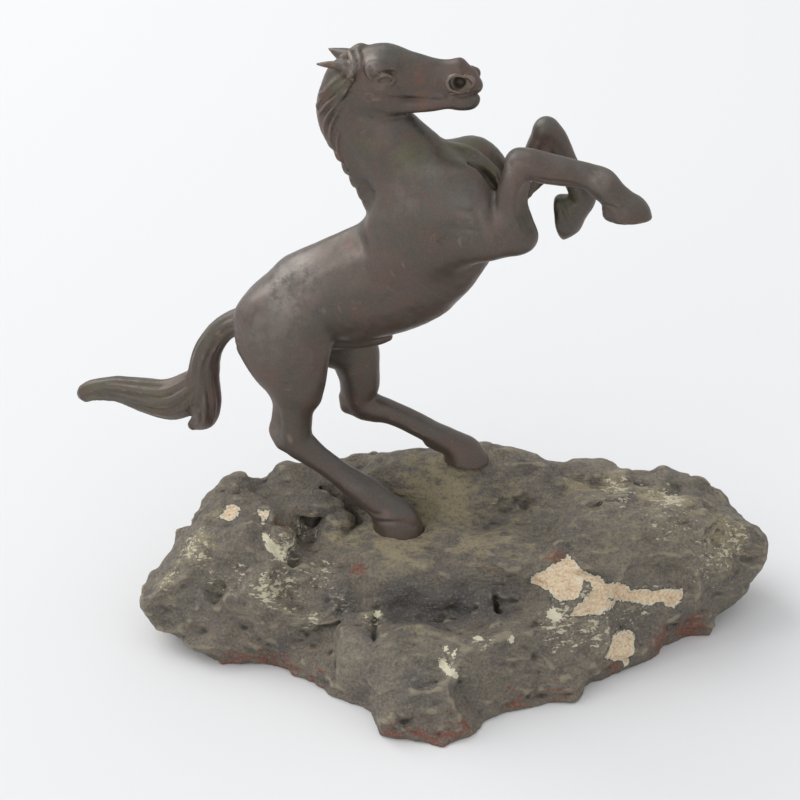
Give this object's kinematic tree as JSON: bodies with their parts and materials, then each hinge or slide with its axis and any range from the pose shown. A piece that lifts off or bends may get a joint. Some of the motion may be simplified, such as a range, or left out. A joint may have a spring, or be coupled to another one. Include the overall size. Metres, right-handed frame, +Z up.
{
  "type": "bronze horse figurine",
  "caption": "Rearing horse cast in bronze with a dark brown patina, standing on its hind hooves on a rough painted rock plinth.",
  "frame": {"origin": "middle of the object's outline seen from above, on the surface that the plinth stands on", "axes": "+X the way the horse rears, along the plinth; +Z up; +Y away from the side that the picture shows"},
  "size_m": [0.3724, 0.1763, 0.314],
  "materials": {
    "bronze": "dark brown patina, satin, rubbed reddish on the high places",
    "rock": "rough, painted dark olive brown, with chips that show pale pinkish plaster"
  },
  "bodies": {
    "root": {"horse": "bronze", "rock_base": "rock"}
  },
  "joints": []
}
